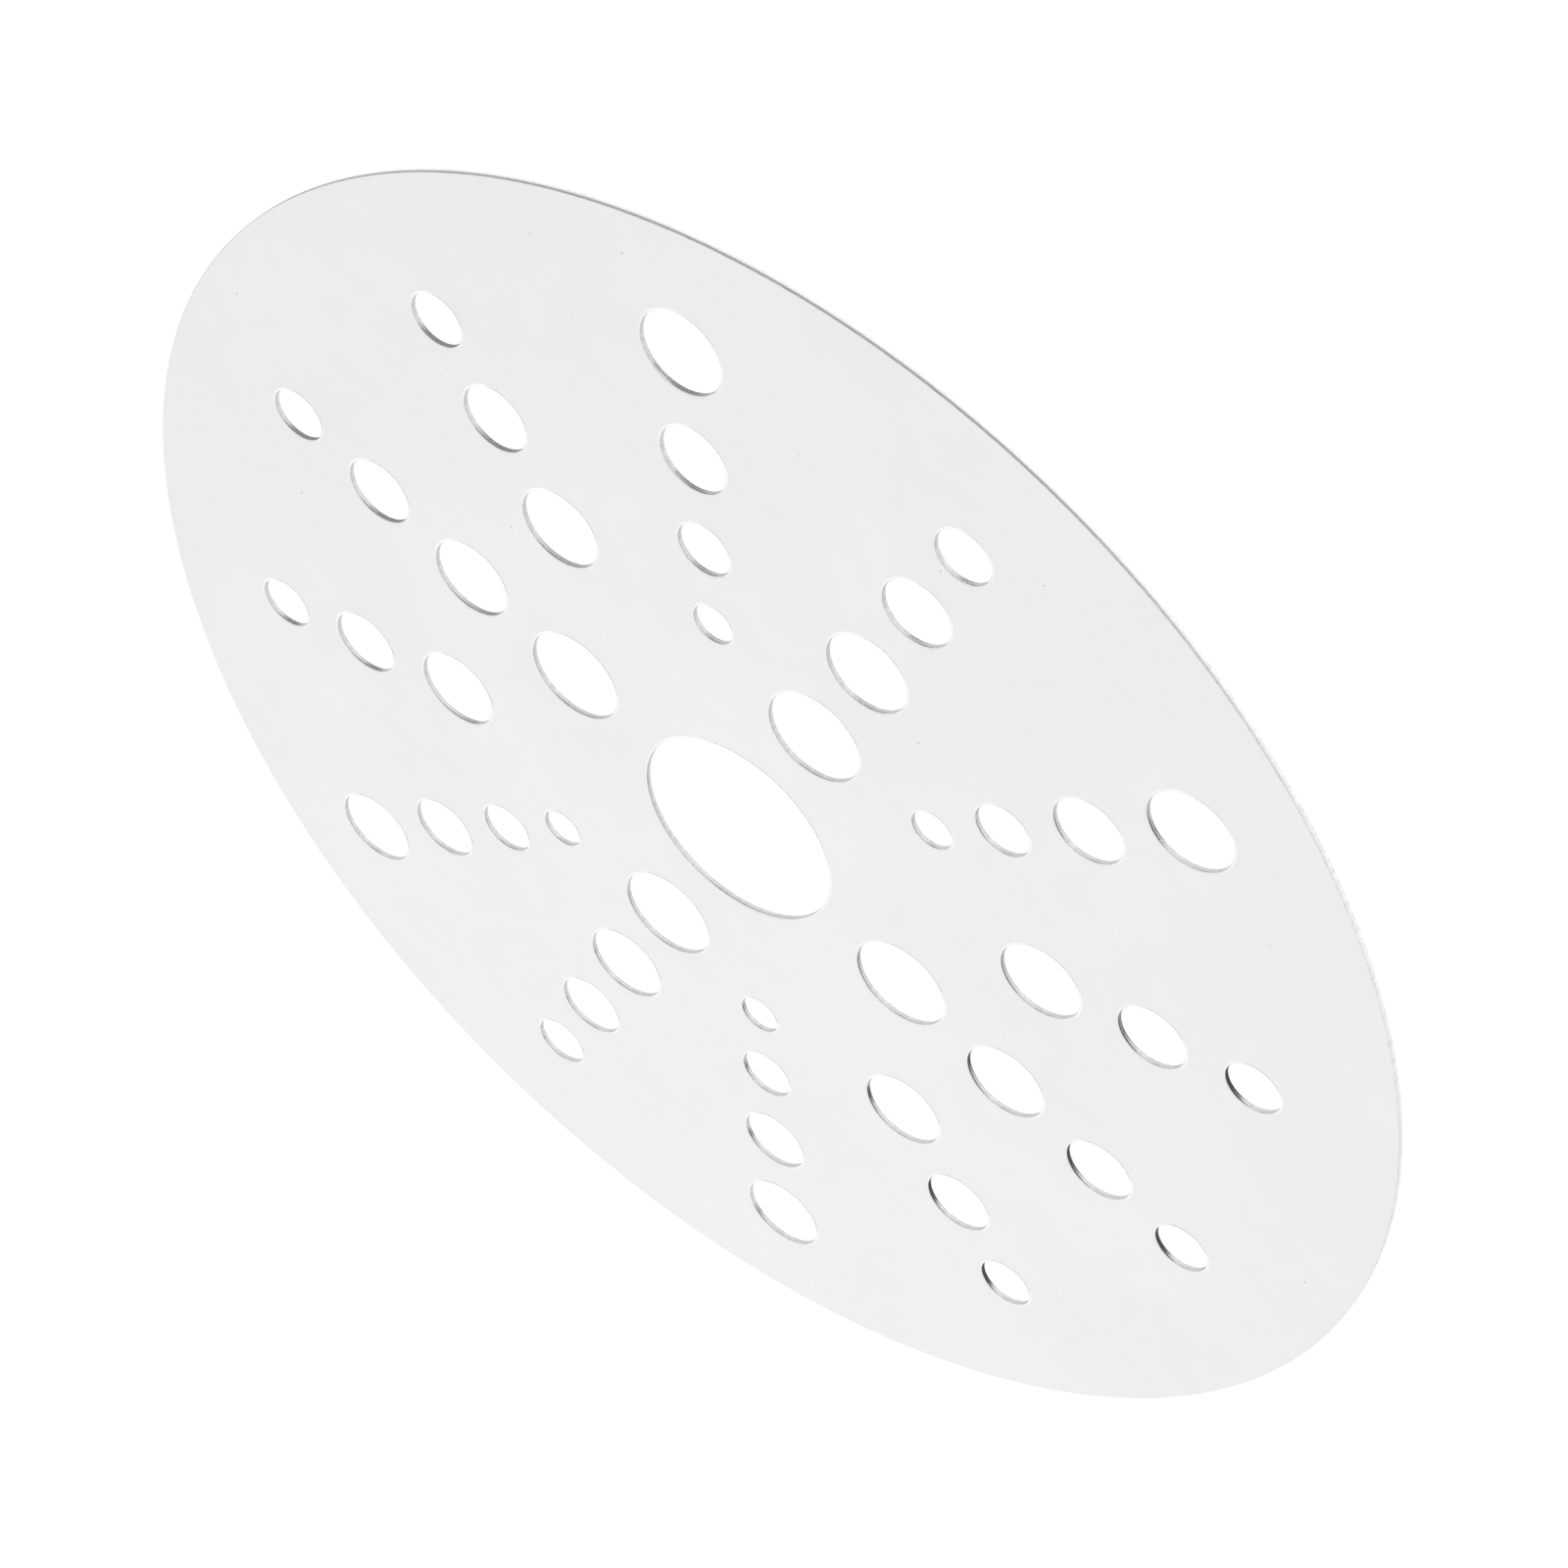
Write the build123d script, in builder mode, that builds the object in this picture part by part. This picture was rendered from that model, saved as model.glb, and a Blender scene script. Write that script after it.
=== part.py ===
from build123d import *
import os

# Circle template: one flat round plate of thin sheet metal, pierced by a large centre hole
# and by rays of drawing holes. All sizes are in millimetres.
# The plate lies on the XY plane with its underside at Z = 0 and its centre on the Z axis.
# The first ray runs along +X, and the others follow it counter-clockwise at equal angles.

# plate
plate_diameter = 100.0
plate_thickness = 0.4
centre_hole_diameter = 15.0
edge_break = 0.05  # chamfer on every rim, above and below

# drawing holes, by diameter
hole_a = 3.0
hole_b = 4.0
hole_c = 5.0
hole_d = 6.0
hole_e = 7.0

# Webs are the metal left between openings along a ray, at their widths on the standard plate.
# When another size changes, they share the room that is left in the same proportion.
hub_web = 3.65  # from the centre hole to the nearest drawing hole
bridge_web = 2.85  # from one drawing hole to the next
rim_web = 6.3  # from the farthest drawing hole to the rim

# Each ray lists its holes from the centre outwards.
falling_ray = [hole_e, hole_d, hole_c, hole_b]
rising_ray = [hole_a, hole_b, hole_c, hole_d]
short_ray = [None, hole_d, hole_c, hole_b]  # a hole in its first place would crowd its neighbours
half_turn = [falling_ray, short_ray, rising_ray, falling_ray, rising_ray, short_ray]
rays = half_turn * 2
ray_angle = 360 / len(rays)

# Every ray has a hole_c in this place, and those holes share one ring.
shared_place = 2

plate_radius = plate_diameter / 2
centre_hole_radius = centre_hole_diameter / 2

# The room for webs is what the longest stack of holes leaves free: the falling ray's holes up
# to the shared ring, and the rising ray's holes beyond it.
inner_stack = falling_ray[: shared_place + 1]
outer_stack = rising_ray[shared_place + 1 :]
web_room = plate_radius - centre_hole_radius - sum(inner_stack) - sum(outer_stack)
bridge_count = len(inner_stack) + len(outer_stack) - 1
web_scale = web_room / (hub_web + bridge_count * bridge_web + rim_web)
hub = hub_web * web_scale
bridge = bridge_web * web_scale
shared_ring = centre_hole_radius + hub + sum(inner_stack) + shared_place * bridge - hole_c / 2


def hole_distance(ray, place):
    # distance from the plate's centre to a hole's centre, stepping hole by hole from the shared ring
    step = 1 if place > shared_place else -1
    distance = shared_ring
    for here in range(shared_place, place, step):
        distance += step * (ray[here] / 2 + bridge + ray[here + step] / 2)
    return distance


with BuildPart() as template_plate:
    with BuildSketch() as outline:
        Circle(plate_radius)
        Circle(centre_hole_radius, mode=Mode.SUBTRACT)
        for number, ray in enumerate(rays):
            for place, diameter in enumerate(ray):
                if diameter is None:
                    continue
                with PolarLocations(hole_distance(ray, place), 1, start_angle=number * ray_angle):
                    Circle(diameter / 2, mode=Mode.SUBTRACT)
    extrude(amount=plate_thickness)
    chamfer(template_plate.edges().filter_by(GeomType.CIRCLE), edge_break)

template_plate.part.label = "template_plate"

os.makedirs("parts", exist_ok=True)
export_step(template_plate.part, "parts/template_plate.step")
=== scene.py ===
import math

import bmesh
import bpy
import numpy as np
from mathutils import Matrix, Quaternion, Vector, geometry


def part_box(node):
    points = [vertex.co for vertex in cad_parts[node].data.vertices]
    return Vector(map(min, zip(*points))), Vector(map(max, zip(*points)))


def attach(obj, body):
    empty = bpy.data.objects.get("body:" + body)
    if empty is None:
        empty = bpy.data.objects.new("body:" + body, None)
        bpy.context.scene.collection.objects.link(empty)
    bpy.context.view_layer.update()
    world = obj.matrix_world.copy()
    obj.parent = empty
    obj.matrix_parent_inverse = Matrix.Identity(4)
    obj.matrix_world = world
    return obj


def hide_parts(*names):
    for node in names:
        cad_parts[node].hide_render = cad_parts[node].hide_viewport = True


# The looks of a thin satin steel circle template: the plate, its finishes, the studio and the
# camera. Lengths are in metres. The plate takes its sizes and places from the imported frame.

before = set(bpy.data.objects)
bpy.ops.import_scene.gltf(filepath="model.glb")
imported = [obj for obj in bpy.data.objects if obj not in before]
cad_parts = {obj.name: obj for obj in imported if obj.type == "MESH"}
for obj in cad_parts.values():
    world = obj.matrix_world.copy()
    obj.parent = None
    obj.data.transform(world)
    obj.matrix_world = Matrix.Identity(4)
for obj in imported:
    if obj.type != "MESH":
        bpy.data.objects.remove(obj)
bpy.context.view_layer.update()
plateNode = "template_plate"
mm = 0.001
sheetSlot, wallSlot, edgeSlot, lipSlot = range(4)  # material slots of the plate


def readWalls(node, maxTilt=0.1, joinDistance=1e-6):
    # every upright round wall of the CAD plate as (centre x, centre y, radius), the outer wall last
    work = bmesh.new()
    work.from_mesh(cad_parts[node].data)
    bmesh.ops.remove_doubles(work, verts=work.verts, dist=joinDistance)
    work.normal_update()
    work.verts.index_update()
    waiting = {face for face in work.faces if abs(face.normal.z) < maxTilt}
    walls = []
    for start in work.faces:
        if start not in waiting:
            continue
        waiting.remove(start)
        island = [start]
        for face in island:
            for edge in face.edges:
                for other in edge.link_faces:
                    if other in waiting:
                        waiting.remove(other)
                        island.append(other)
        # a fixed order of points and walls gives the same mesh on every run
        corners = {vert.index: vert.co for face in island for vert in face.verts}
        xy = np.array([corners[index].xy for index in sorted(corners)])
        # the circle x^2 + y^2 = 2ax + 2by + c that fits the wall's corners best
        system = np.column_stack([2 * xy, np.ones(len(xy))])
        a, b, c = np.linalg.lstsq(system, (xy ** 2).sum(axis=1), rcond=None)[0]
        walls.append((a, b, math.sqrt(c + a * a + b * b)))
    work.free()
    return sorted(walls, key=lambda wall: round(wall[2], 6))


plate = {
    "segment": 0.17 * mm,       # length of a rim's straight steps
    "leastSegments": 72,
    "faceGrid": 1.9 * mm,       # spacing of the points inside each face
    "gridClearance": 0.7 * mm,  # and how far they stay from a rim
    "lipWidth": 0.14 * mm,      # burnished lip round each hole
    "lipSlope": 11.0,           # degrees it leans into the hole
    "rollRadius": 0.035 * mm,   # rounded corner at the upper rim
    "burrRadius": 0.020 * mm,   # and at the lower rim
    "shear": 0.52,              # share of the wall that was sheared smooth, from the top
    "step": 0.010 * mm,         # how far the torn band stands back from the sheared one
    "roundSteps": 4,
    "holeLimit": 1.2,           # in half steps of a rim; it falls just inside the straight steps
    "joinDistance": 1e-9,
}


def wallProfile(thickness, lipWidth):
    # (how far the wall stands back into the metal, height) from the upper face down
    roll, burr = plate["rollRadius"], plate["burrRadius"]
    steps = plate["roundSteps"]
    drop = lipWidth * math.tan(math.radians(plate["lipSlope"]))
    profile = [(roll + lipWidth, thickness)] if lipWidth else []
    for i in range(steps + 1):
        turn = i / steps * math.pi / 2
        height = thickness - drop - roll * (1 - math.cos(turn))
        profile.append((roll * (1 - math.sin(turn)), height))
    ledge = thickness * (1 - plate["shear"])
    profile.append((0.0, ledge + plate["step"]))
    profile.append((plate["step"], ledge - plate["step"]))
    for i in range(steps + 1):
        turn = i / steps * math.pi / 2
        back = plate["step"] + burr * (1 - math.cos(turn))
        profile.append((back, burr * (1 - math.sin(turn))))
    return profile


def circlePoints(x, y, radius, count):
    turns = [2 * math.pi * i / count for i in range(count)]
    return [Vector((x + radius * math.cos(t), y + radius * math.sin(t))) for t in turns]


def gridPoints(walls):
    # a honeycomb of points over the face, clear of every rim
    pitch, clear = plate["faceGrid"], plate["gridClearance"]
    holes, (outX, outY, outRadius) = walls[:-1], walls[-1]
    row = pitch * math.sqrt(3) / 2
    points = []
    for j in range(-int(outRadius / row), int(outRadius / row) + 1):
        shift = pitch / 2 if j % 2 else 0.0
        for i in range(-int(outRadius / pitch) - 1, int(outRadius / pitch) + 2):
            x, y = i * pitch + shift, j * row
            if math.hypot(x - outX, y - outY) > outRadius - clear:
                continue
            if all(math.hypot(x - hx, y - hy) > hr + clear for hx, hy, hr in holes):
                points.append(Vector((x, y)))
    return points


def makePlate(walls, thickness):
    # rings of points down every wall, then triangles over both faces between the rims
    verts, faces, finishes = [], [], []
    rimPoints, rimEdges, rimIndex, limits = ({"top": [], "bottom": []} for _ in range(4))
    for x, y, radius in walls:
        outer = radius == walls[-1][2]
        inward = -1 if outer else 1
        profile = wallProfile(thickness, 0.0 if outer else plate["lipWidth"])
        count = max(plate["leastSegments"], round(2 * math.pi * radius / plate["segment"]))
        start = len(verts)
        for back, height in profile:
            for point in circlePoints(x, y, radius + inward * back, count):
                verts.append((point.x, point.y, height))
        for level in range(len(profile) - 1):
            for i in range(count):
                j = (i + 1) % count
                quad = [start + level * count + i, start + level * count + j,
                        start + (level + 1) * count + j, start + (level + 1) * count + i]
                faces.append(quad[::-1] if outer else quad)
                finishes.append(edgeSlot if outer else lipSlot if level == 0 else wallSlot)
        ends = (("top", 0), ("bottom", len(profile) - 1))
        for side, level in ends:
            # a triangle with its middle nearer than this to the hole's centre lies in the hole
            reach = radius + inward * profile[level][0]
            reach *= math.cos(plate["holeLimit"] * math.pi / count)
            limits[side].append((x, y, reach))
            first = len(rimPoints[side])
            ring = range(start + level * count, start + (level + 1) * count)
            rimPoints[side] += [Vector(verts[k][:2]) for k in ring]
            rimIndex[side] += list(ring)
            rimEdges[side] += [(first + i, first + (i + 1) % count) for i in range(count)]
    inner = gridPoints(walls)
    for side, height in (("top", thickness), ("bottom", 0.0)):
        flat, _, triangles, origins, _, _ = geometry.delaunay_2d_cdt(
            rimPoints[side] + inner, rimEdges[side], [], 0, plate["joinDistance"])
        where = []
        for point, came in zip(flat, origins):
            known = [k for k in came if k < len(rimIndex[side])]
            if known:
                where.append(rimIndex[side][known[0]])
            else:
                where.append(len(verts))
                verts.append((point.x, point.y, height))
        for triangle in triangles:
            middle = sum((flat[k] for k in triangle), Vector((0, 0))) / 3
            holes = limits[side][:-1]
            if any(math.hypot(middle.x - x, middle.y - y) < reach for x, y, reach in holes):
                continue
            corners = [where[k] for k in triangle]
            faces.append(corners if side == "top" else corners[::-1])
            finishes.append(sheetSlot)
    mesh = bpy.data.meshes.new("templatePlate")
    mesh.from_pydata(verts, [], faces)
    for polygon, finish in zip(mesh.polygons, finishes):
        polygon.material_index = finish
        polygon.use_smooth = finish in (wallSlot, edgeSlot)
    mesh.update()
    piece = bpy.data.objects.new("templatePlate", mesh)
    bpy.context.scene.collection.objects.link(piece)
    return piece


def newMaterial(name):
    material = bpy.data.materials.new(name)
    material.use_nodes = True
    nodes = material.node_tree.nodes
    return material, nodes, material.node_tree.links, nodes["Principled BSDF"]


def mathNode(nodes, links, operation, first, second=None, third=None, clamp=False):
    node = nodes.new("ShaderNodeMath")
    node.operation = operation
    node.use_clamp = clamp
    for socket, value in zip(node.inputs, (first, second, third)):
        if value is None:
            continue
        if isinstance(value, (int, float)):
            socket.default_value = value
        else:
            links.new(value, socket)
    return node.outputs[0]


def rangeNode(nodes, links, value, low, high, toLow=0.0, toHigh=1.0):
    node = nodes.new("ShaderNodeMapRange")
    node.interpolation_type = "SMOOTHSTEP"
    links.new(value, node.inputs["Value"])
    limits = {"From Min": low, "From Max": high, "To Min": toLow, "To Max": toHigh}
    for name, number in limits.items():
        node.inputs[name].default_value = number
    return node.outputs["Result"]


def greyColour(nodes, links, value):
    colour = nodes.new("ShaderNodeCombineColor")
    for channel in ("Red", "Green", "Blue"):
        links.new(value, colour.inputs[channel])
    return colour.outputs["Color"]


def addBump(nodes, links, shader, height, distance):
    bump = nodes.new("ShaderNodeBump")
    bump.inputs["Distance"].default_value = distance
    links.new(height, bump.inputs["Height"])
    links.new(bump.outputs["Normal"], shader.inputs["Normal"])


def multiplyVector(nodes, links, vector):
    node = nodes.new("ShaderNodeVectorMath")
    node.operation = "MULTIPLY"
    links.new(vector, node.inputs[0])
    return node


def streakGroup():
    # noise drawn out along one direction: Streak runs from 0 to 1, Lines shows only the peaks
    noiseLow, noiseHigh, lineSharpness = 0.3, 0.7, 14.0
    tree = bpy.data.node_groups.new("streaks", "ShaderNodeTree")
    for name in ("Place", "Turn", "Scale"):
        tree.interface.new_socket(name, in_out="INPUT", socket_type="NodeSocketVector")
    for name in ("Detail", "Peak"):
        tree.interface.new_socket(name, in_out="INPUT", socket_type="NodeSocketFloat")
    for name in ("Streak", "Lines"):
        tree.interface.new_socket(name, in_out="OUTPUT", socket_type="NodeSocketFloat")
    nodes, links = tree.nodes, tree.links
    given, result = nodes.new("NodeGroupInput"), nodes.new("NodeGroupOutput")
    turned = nodes.new("ShaderNodeVectorRotate")
    turned.rotation_type = "EULER_XYZ"
    links.new(given.outputs["Place"], turned.inputs["Vector"])
    links.new(given.outputs["Turn"], turned.inputs["Rotation"])
    scaled = multiplyVector(nodes, links, turned.outputs["Vector"])
    links.new(given.outputs["Scale"], scaled.inputs[1])
    noise = nodes.new("ShaderNodeTexNoise")
    noise.inputs["Scale"].default_value = 1.0
    links.new(scaled.outputs["Vector"], noise.inputs["Vector"])
    links.new(given.outputs["Detail"], noise.inputs["Detail"])
    streak = rangeNode(nodes, links, noise.outputs["Fac"], noiseLow, noiseHigh)
    links.new(streak, result.inputs["Streak"])
    over = mathNode(nodes, links, "SUBTRACT", noise.outputs["Fac"], given.outputs["Peak"])
    lines = mathNode(nodes, links, "MULTIPLY", over, lineSharpness, clamp=True)
    links.new(lines, result.inputs["Lines"])
    return tree


streaks = streakGroup()


def placeStreaks(nodes, links, place, scale, turn=(0, 0, 0), detail=2.0, peak=0.7):
    node = nodes.new("ShaderNodeGroup")
    node.node_tree = streaks
    links.new(place, node.inputs["Place"])
    node.inputs["Turn"].default_value = turn
    node.inputs["Scale"].default_value = scale
    node.inputs["Detail"].default_value = detail
    node.inputs["Peak"].default_value = peak
    return node.outputs["Streak"], node.outputs["Lines"]


sheet = {
    "tone": 0.833,           # reflectance of the pale satin face
    "cloud": 0.010,          # wide light and dark patches, as a share of the tone
    "cloudSize": 16 * mm,
    "mottle": 0.005,         # smaller ones
    "mottleSize": 2.4 * mm,
    "grain": 0.005,          # rolling grain, as a share of the tone
    "grainWidth": 0.10 * mm,
    "grainLength": 3.0 * mm,
    "hairline": 0.017,       # how much a hairline scratch changes the tone
    "hairlineWidth": 0.09 * mm,
    "hairlineLength": 1.8 * mm,
    # degrees off the grain, light or dark, and the noise level where the hairlines start
    "hairlineSets": ((3.0, 1.0, 0.67), (-6.0, -1.2, 0.67), (11.0, 0.8, 0.69), (-13.0, -1.0, 0.69)),
    "hairlineShine": 0.06,   # how much smoother the metal is in a hairline
    "clusterSize": 13 * mm,  # hairlines come in patches of this size
    "clusterTurn": (0, 0, 1.0),
    "clusterFrom": 0.50,     # noise levels where a patch starts and is full
    "clusterTo": 0.90,
    "speck": 0.50,           # how much darker a speck is
    "speckCell": 2.6 * mm,   # one possible speck in each cell of this size
    "speckShare": 0.30,      # share of the cells that have one
    "speckSize": 0.09 * mm,
    "roughness": 0.33,
    "roughnessSpread": 0.02,
    "bump": 0.0010 * mm,
}


def makeSheetFinish():
    material, nodes, links, shader = newMaterial("satinSheet")
    place = nodes.new("ShaderNodeTexCoord").outputs["Object"]
    cloud, _ = placeStreaks(nodes, links, place, (1 / sheet["cloudSize"],) * 3, detail=2.0)
    patch, _ = placeStreaks(nodes, links, place, (1 / sheet["mottleSize"],) * 3, detail=3.0)
    grainScale = (1 / sheet["grainLength"], 1 / sheet["grainWidth"], 1 / mm)
    grain, _ = placeStreaks(nodes, links, place, grainScale, detail=2.5)
    clusters, _ = placeStreaks(nodes, links, place, (1 / sheet["clusterSize"],) * 3,
                               turn=sheet["clusterTurn"], detail=2.0)
    crowd = rangeNode(nodes, links, clusters, sheet["clusterFrom"], sheet["clusterTo"])
    hairScale = (1 / sheet["hairlineLength"], 1 / sheet["hairlineWidth"], 1 / mm)
    tone = mathNode(nodes, links, "MULTIPLY_ADD", cloud, 2 * sheet["cloud"], -sheet["cloud"])
    for effect, strength in ((patch, sheet["mottle"]), (grain, sheet["grain"])):
        effect = mathNode(nodes, links, "MULTIPLY_ADD", effect, 2 * strength, -strength)
        tone = mathNode(nodes, links, "ADD", tone, effect)
    scratches = None
    for angle, share, peak in sheet["hairlineSets"]:
        _, lines = placeStreaks(nodes, links, place, hairScale, turn=(0, 0, math.radians(angle)),
                                detail=1.0, peak=peak)
        lines = mathNode(nodes, links, "MULTIPLY", lines, crowd)
        tone = mathNode(nodes, links, "MULTIPLY_ADD", lines, share * sheet["hairline"], tone)
        scratches = lines if scratches is None else mathNode(nodes, links, "ADD", scratches, lines)
    # specks: a small pit near the middle of some cells
    flat = multiplyVector(nodes, links, place)
    flat.inputs[1].default_value = (1, 1, 0)
    cells = nodes.new("ShaderNodeTexVoronoi")
    cells.inputs["Scale"].default_value = 1 / sheet["speckCell"]
    links.new(flat.outputs["Vector"], cells.inputs["Vector"])
    size = sheet["speckSize"] / sheet["speckCell"]
    dot = rangeNode(nodes, links, cells.outputs["Distance"], size, size / 2)
    chance = nodes.new("ShaderNodeSeparateColor")
    links.new(cells.outputs["Color"], chance.inputs["Color"])
    chosen = mathNode(nodes, links, "LESS_THAN", chance.outputs["Red"], sheet["speckShare"])
    dot = mathNode(nodes, links, "MULTIPLY", dot, chosen)
    tone = mathNode(nodes, links, "MULTIPLY_ADD", dot, -sheet["speck"], tone)
    bright = mathNode(nodes, links, "MULTIPLY_ADD", tone, sheet["tone"], sheet["tone"])
    links.new(greyColour(nodes, links, bright), shader.inputs["Base Color"])
    rough = mathNode(nodes, links, "MULTIPLY_ADD", grain, 2 * sheet["roughnessSpread"],
                     sheet["roughness"] - sheet["roughnessSpread"])
    rough = mathNode(nodes, links, "MULTIPLY_ADD", scratches, -sheet["hairlineShine"], rough)
    links.new(rough, shader.inputs["Roughness"])
    shader.inputs["Metallic"].default_value = 1.0
    height = mathNode(nodes, links, "SUBTRACT", grain, scratches)
    addBump(nodes, links, shader, height, sheet["bump"])
    return material


# Tones of a wall at shares of its height, from the lower rim up: burr, torn band, groove, bright
# line and sheared band. The second row is lighter and is painted light: it takes over from the
# first towards one end of the plate, to offset the shade that the dark cards cast there.
holeWall = {
    "bands": ((0.00, 0.56), (0.06, 0.60), (0.10, 0.73), (0.27, 0.71), (0.31, 0.57), (0.36, 0.57),
              (0.40, 0.88), (0.45, 0.88), (0.50, 0.63), (0.70, 0.65), (0.88, 0.68), (1.00, 0.80)),
    "paintedLitEnd": None,
    "ragged": 0.04,          # how far the bands wander, as a share of the height
    "speckle": 0.14,         # light and dark grains on the wall
    "speckleWidth": 0.07 * mm,
    "speckleHeight": 0.16 * mm,
    "chatter": 0.05,         # lighter and darker stretches
    "patchLength": 0.4 * mm,
    "patchHeight": 1.0 * mm,
    "roughness": 0.30,
    "roughnessSpread": 0.05,
    "bump": 0.003 * mm,
}
outerEdge = {
    "bands": ((0.00, 0.97), (0.32, 0.97), (0.42, 0.84), (0.56, 0.66), (0.64, 0.43), (0.88, 0.43),
              (1.00, 0.58)),
    # painted light: lighter tones for the end of the edge that the dark cards shade
    "paintedLitEnd": ((0.00, 0.76), (0.09, 0.78), (0.20, 0.94), (0.60, 0.93), (0.74, 0.80), (0.86, 0.78),
             (1.00, 0.86)),
    "paintedLitEndFrom": 4 * mm,      # place along the grain where the painted lightening begins, and where it is full
    "paintedLitEndTo": -32 * mm,
    "ragged": 0.05,
    "speckle": 0.10,
    "speckleWidth": 0.10 * mm,
    "speckleHeight": 0.14 * mm,
    "chatter": 0.05,
    "patchLength": 0.4 * mm,
    "patchHeight": 1.0 * mm,
    "roughness": 0.55,
    "roughnessSpread": 0.05,
    "bump": 0.003 * mm,
}


def bandRamp(nodes, links, level, bands):
    ramp = nodes.new("ShaderNodeValToRGB")
    stops = ramp.color_ramp.elements
    while len(stops) < len(bands):
        stops.new(0.5)
    for stop, (height, tone) in zip(stops, bands):
        stop.position = height
        stop.color = (tone, tone, tone, 1)
    links.new(level, ramp.inputs["Fac"])
    return ramp.outputs["Color"]


def makeWallFinish(name, wall, thickness):
    material, nodes, links, shader = newMaterial(name)
    place = nodes.new("ShaderNodeTexCoord").outputs["Object"]
    apart = nodes.new("ShaderNodeSeparateXYZ")
    links.new(place, apart.inputs["Vector"])
    fine, wide = 1 / wall["speckleWidth"], 1 / wall["patchLength"]
    grainScale = (fine, fine, 1 / wall["speckleHeight"])
    patchScale = (wide, wide, 1 / wall["patchHeight"])
    grains, _ = placeStreaks(nodes, links, place, grainScale, detail=2.0)
    patches, _ = placeStreaks(nodes, links, place, patchScale, detail=3.0)
    level = mathNode(nodes, links, "MULTIPLY", apart.outputs["Z"], 1 / thickness)
    wander = mathNode(nodes, links, "MULTIPLY_ADD", patches, 2 * wall["ragged"], -wall["ragged"])
    level = mathNode(nodes, links, "ADD", level, wander)
    tone = bandRamp(nodes, links, level, wall["bands"])
    # painted light: the edge is toned lighter towards one end, to make up for the dark cards' shade
    # there
    if wall["paintedLitEnd"]:
        paintedLitShare = rangeNode(nodes, links, apart.outputs["X"], wall["paintedLitEndFrom"], wall["paintedLitEndTo"])
        paintedLitEnd = nodes.new("ShaderNodeMix")
        paintedLitEnd.data_type = "RGBA"
        links.new(paintedLitShare, paintedLitEnd.inputs["Factor"])
        links.new(tone, paintedLitEnd.inputs["A"])
        links.new(bandRamp(nodes, links, level, wall["paintedLitEnd"]), paintedLitEnd.inputs["B"])
        tone = paintedLitEnd.outputs["Result"]
    speckle, chatter = wall["speckle"], wall["chatter"]
    change = mathNode(nodes, links, "MULTIPLY_ADD", grains, 2 * speckle, 1 - speckle)
    chatter = mathNode(nodes, links, "MULTIPLY_ADD", patches, 2 * chatter, -chatter)
    change = mathNode(nodes, links, "ADD", change, chatter)
    toned = nodes.new("ShaderNodeVectorMath")
    toned.operation = "SCALE"
    links.new(tone, toned.inputs[0])
    links.new(change, toned.inputs["Scale"])
    links.new(toned.outputs["Vector"], shader.inputs["Base Color"])
    spread = wall["roughnessSpread"]
    rough = mathNode(nodes, links, "MULTIPLY_ADD", grains, 2 * spread, wall["roughness"] - spread)
    links.new(rough, shader.inputs["Roughness"])
    shader.inputs["Metallic"].default_value = 1.0
    addBump(nodes, links, shader, grains, wall["bump"])
    return material


lip = {
    "tone": 0.87,
    "spread": 0.03,
    "nickSize": 0.15 * mm,
    "roughness": 0.14,
    "roughnessSpread": 0.08,
}


def makeLipFinish():
    # the rim of each hole is burnished, and reflects more sharply than the sheet
    material, nodes, links, shader = newMaterial("burnishedLip")
    place = nodes.new("ShaderNodeTexCoord").outputs["Object"]
    nicks, _ = placeStreaks(nodes, links, place, (1 / lip["nickSize"],) * 3, detail=2.0)
    bright = mathNode(nodes, links, "MULTIPLY_ADD", nicks, 2 * lip["spread"],
                      lip["tone"] - lip["spread"])
    links.new(greyColour(nodes, links, bright), shader.inputs["Base Color"])
    spread = lip["roughnessSpread"]
    rough = mathNode(nodes, links, "MULTIPLY_ADD", nicks, 2 * spread, lip["roughness"] - spread)
    links.new(rough, shader.inputs["Roughness"])
    shader.inputs["Metallic"].default_value = 1.0
    return material


low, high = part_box(plateNode)
thickness = high.z - low.z
walls = readWalls(plateNode)
print("walls read:", len(walls))
templatePlate = makePlate(walls, thickness)
for finish in (makeSheetFinish(), makeWallFinish("holeWall", holeWall, thickness),
               makeWallFinish("outerEdge", outerEdge, thickness), makeLipFinish()):
    templatePlate.data.materials.append(finish)
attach(templatePlate, "root")
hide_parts(plateNode)
print("plate made:", len(templatePlate.data.polygons), "faces")


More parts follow.
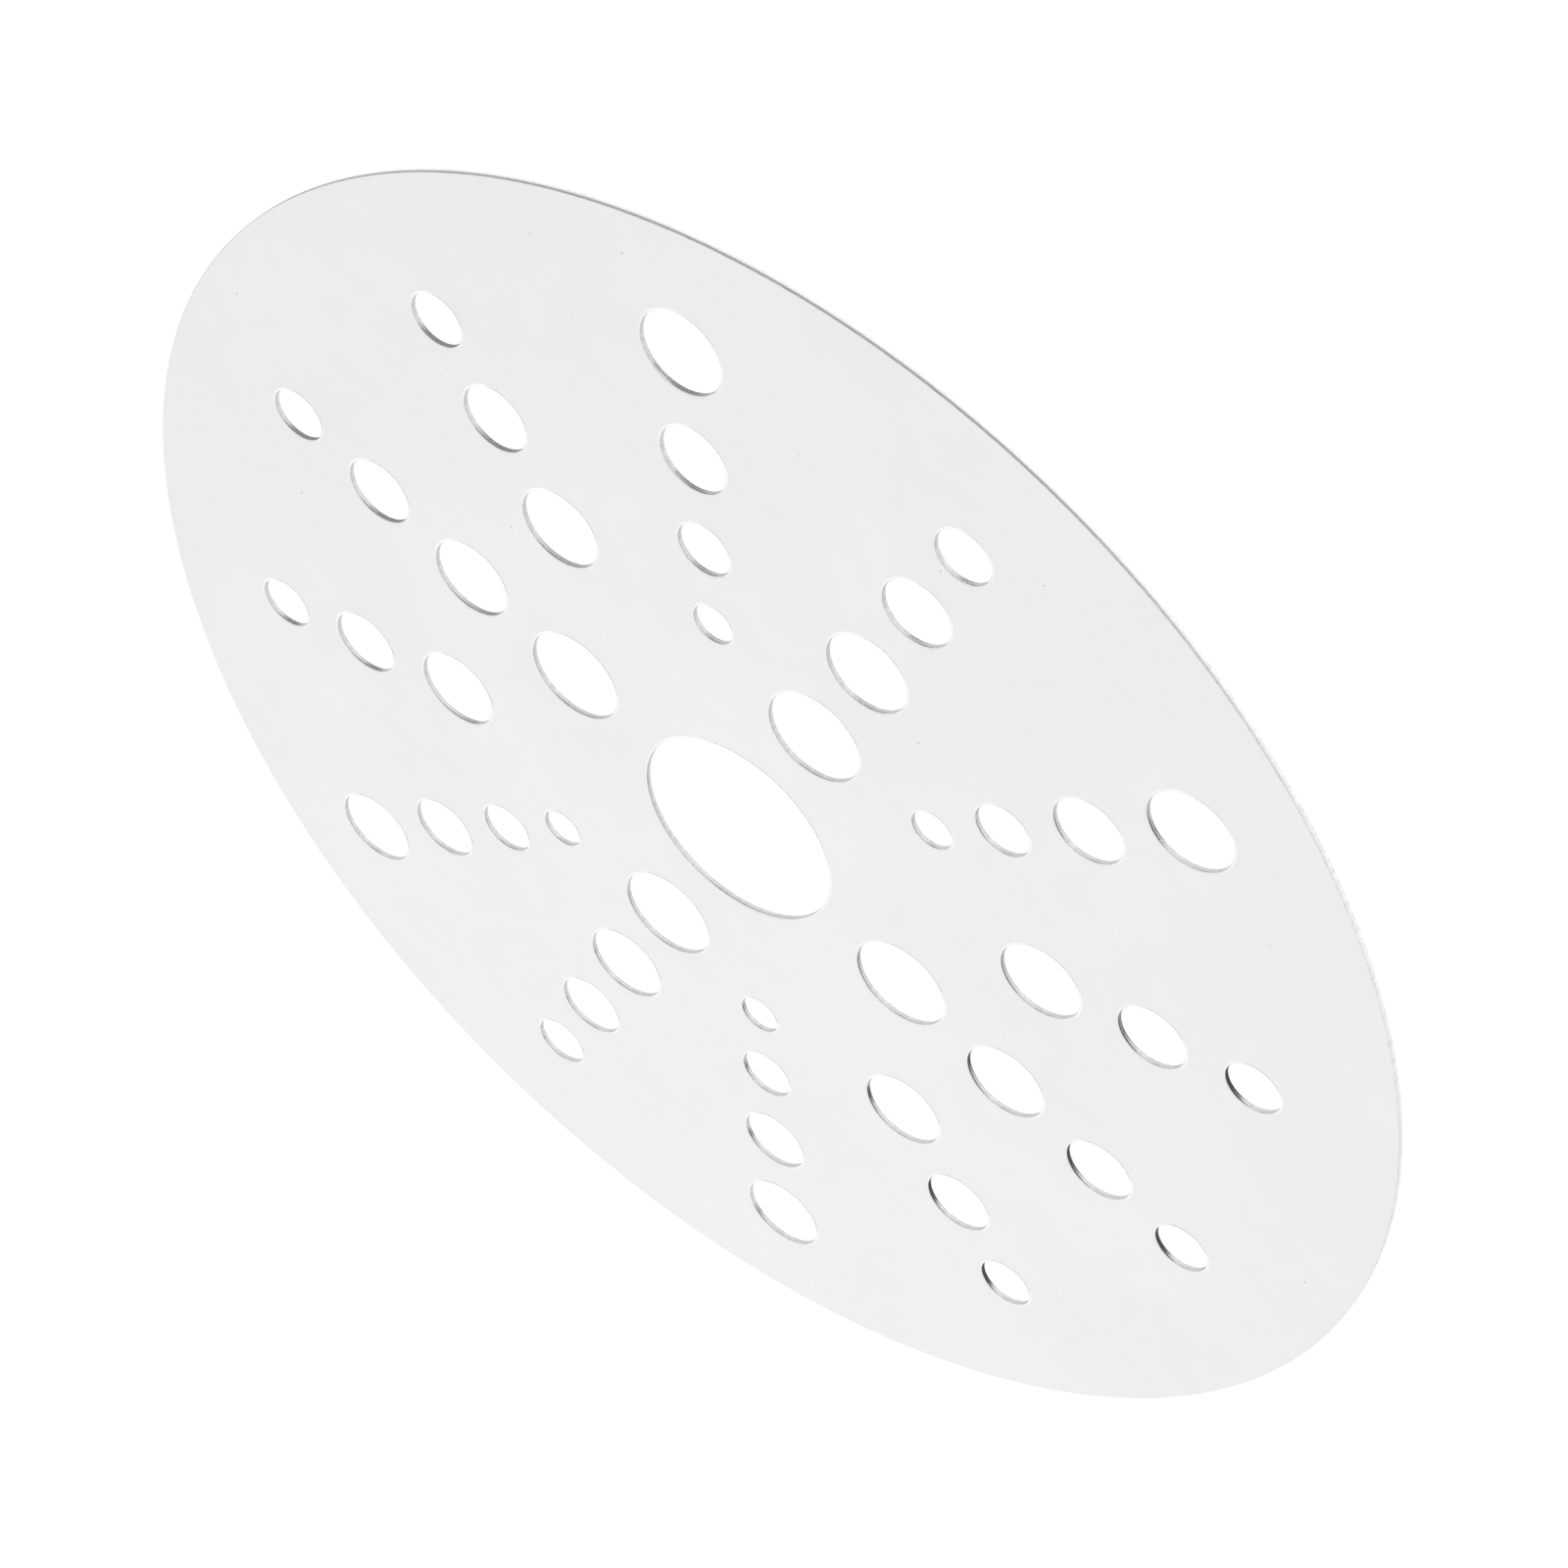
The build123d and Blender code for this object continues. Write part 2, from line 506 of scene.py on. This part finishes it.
studio = {
    "strength": 1.08,
    "low": 1.10,             # the room low down and overhead, as shares of the strength
    "high": 0.90,
    "lowTo": 0.3,            # rise (0 to 1) up to which it is low, and from which it is overhead
    "highFrom": 0.8,
    "rightSide": 0.88,       # the room's two sides
    "leftSide": 0.90,
    "sideReach": 0.45,       # how far to the side (0 to 1) they are full
    "strip": 0.60,           # dark strip low behind the plate
    "stripHeights": (0.02, 0.07, 0.22, 0.29),
    "stripBehind": (0.35, 0.75),
    "opening": 0.62,         # the room is darker round the camera
    "openingHeight": 35.0,   # degrees above the horizon
    "openingInner": 0.93,
    "openingOuter": 0.62,
    "under": 0.86,           # below the horizon, behind the plate
    "underHeights": (-0.02, -0.2),
    "underBehind": (-0.3, 0.6),
    "floorSize": 6.0,
    "floorDrop": 0.01 * mm,  # the floor lies this far below the plate
    "floorGlow": 1.05,
    "flagRadius": 47 * mm,   # dark cards bent round the plate's axis, below it
    "flagDrop": 0.02 * mm,
    "flagSteps": 61,
    # tone, then an outline of turn in degrees, top and foot in mm below the plate
    "flags": {
        "flagLeft": (0.10, ((136, 0, 28), (180, 0, 23), (205, 0, 20), (222, 0, 17), (230, 0, 15),
                            (239, 0, 10))),
        "flagRight": (0.36, ((-80, 14, 34), (-60, 12, 36), (-58, 0, 36), (-38, 0, 32), (0, 0, 26),
                             (32, 0, 22))),
    },
}


def makeWorld():
    world = bpy.data.worlds.new("studio")
    bpy.context.scene.world = world
    world.use_nodes = True
    nodes, links = world.node_tree.nodes, world.node_tree.links
    background = nodes["Background"]
    direction = nodes.new("ShaderNodeTexCoord").outputs["Generated"]
    apart = nodes.new("ShaderNodeSeparateXYZ")
    links.new(direction, apart.inputs["Vector"])
    aside, back, rise = (apart.outputs[axis] for axis in "XYZ")
    light = rangeNode(nodes, links, rise, studio["lowTo"], studio["highFrom"],
                      studio["low"], studio["high"])
    right = rangeNode(nodes, links, aside, 0.0, studio["sideReach"], 1.0, studio["rightSide"])
    left = rangeNode(nodes, links, aside, 0.0, -studio["sideReach"], 1.0, studio["leftSide"])
    # the strip lies behind the plate, between two heights
    bottom, fullFrom, fullTo, top = studio["stripHeights"]
    inStrip = mathNode(nodes, links, "MULTIPLY", rangeNode(nodes, links, rise, bottom, fullFrom),
                       rangeNode(nodes, links, rise, top, fullTo))
    inStrip = mathNode(nodes, links, "MULTIPLY", inStrip,
                       rangeNode(nodes, links, back, *studio["stripBehind"]))
    strip = mathNode(nodes, links, "MULTIPLY_ADD", inStrip, studio["strip"] - 1, 1.0)
    toward = nodes.new("ShaderNodeVectorMath")
    toward.operation = "DOT_PRODUCT"
    height = math.radians(studio["openingHeight"])
    toward.inputs[1].default_value = (0, -math.cos(height), math.sin(height))
    links.new(direction, toward.inputs[0])
    opening = rangeNode(nodes, links, toward.outputs["Value"], studio["openingOuter"],
                        studio["openingInner"], 1.0, studio["opening"])
    below = mathNode(nodes, links, "MULTIPLY",
                     rangeNode(nodes, links, rise, *studio["underHeights"]),
                     rangeNode(nodes, links, back, *studio["underBehind"]))
    under = mathNode(nodes, links, "MULTIPLY_ADD", below, studio["under"] - 1, 1.0)
    for part in (right, left, strip, opening, under):
        light = mathNode(nodes, links, "MULTIPLY", light, part)
    links.new(greyColour(nodes, links, light), background.inputs["Color"])
    background.inputs["Strength"].default_value = studio["strength"]


def glowMaterial(name, tone):
    material, _, _, shader = newMaterial(name)
    shader.inputs["Base Color"].default_value = (0, 0, 0, 1)
    shader.inputs["Roughness"].default_value = 1.0
    shader.inputs["Specular IOR Level"].default_value = 0.0
    shader.inputs["Emission Color"].default_value = (tone, tone, tone, 1)
    shader.inputs["Emission Strength"].default_value = 1.0
    return material


def stageMesh(name, corners, faces, material):
    mesh = bpy.data.meshes.new(name)
    mesh.from_pydata(corners, [], faces)
    mesh.materials.append(material)
    piece = bpy.data.objects.new(name, mesh)
    bpy.context.scene.collection.objects.link(piece)
    return piece


def makeStudio():
    half, level = studio["floorSize"] / 2, -studio["floorDrop"]
    corners = [(x * half, y * half, level) for x, y in ((-1, -1), (1, -1), (1, 1), (-1, 1))]
    litTable = glowMaterial("litTable", studio["floorGlow"])
    floor = stageMesh("floor", corners, [(0, 1, 2, 3)], litTable)
    floor.visible_glossy = False
    # the cards darken the sides of the hole walls; the outer edge faces away from them
    count, radius = studio["flagSteps"], studio["flagRadius"]
    for name, (tone, outline) in studio["flags"].items():
        knownTurns, tops, feet = zip(*outline)
        turns = np.linspace(knownTurns[0], knownTurns[-1], count)
        rim = [(radius * math.cos(t), radius * math.sin(t)) for t in np.radians(turns)]
        corners = []
        for depths in (tops, feet):
            heights = -studio["flagDrop"] - mm * np.interp(turns, knownTurns, depths)
            corners += [(x, y, z) for (x, y), z in zip(rim, heights)]
        quads = [(i, i + 1, count + i + 1, count + i) for i in range(count - 1)]
        flag = stageMesh(name, corners, quads, glowMaterial(name, tone))
        flag.visible_camera = False


makeWorld()
makeStudio()
print("studio lit")


camera = {
    "distance": 271.67 * mm,  # from the middle of the upper face
    "side": 2.49,             # degrees round from the front, towards the left
    "height": 30.5,           # degrees above the plate
    "aim": (-0.44 * mm, -8.2 * mm),
    "roll": 135.4,            # degrees: the near edge points to the upper right
    "lens": 95.4,
    "sensor": 36.0,
    "nearest": 0.01,          # metres
    "farthest": 20.0,
}


def makeCamera():
    data = bpy.data.cameras.new("camera")
    data.lens, data.sensor_width = camera["lens"], camera["sensor"]
    data.clip_start, data.clip_end = camera["nearest"], camera["farthest"]
    seen = bpy.data.objects.new("camera", data)
    bpy.context.scene.collection.objects.link(seen)
    side, rise = math.radians(camera["side"]), math.radians(camera["height"])
    flat = math.cos(rise)
    away = Vector((-math.sin(side) * flat, -math.cos(side) * flat, math.sin(rise)))
    middle = Vector((0, 0, high.z))
    seen.location = middle + away * camera["distance"]
    target = Vector((*camera["aim"], high.z))
    look = (target - seen.location).to_track_quat("-Z", "Y")
    seen.rotation_mode = "QUATERNION"
    seen.rotation_quaternion = look @ Quaternion((0, 0, 1), -math.radians(camera["roll"]))
    bpy.context.scene.camera = seen


makeCamera()
scene = bpy.context.scene
scene.view_settings.view_transform = "Standard"
scene.view_settings.look = "None"
print("camera set")
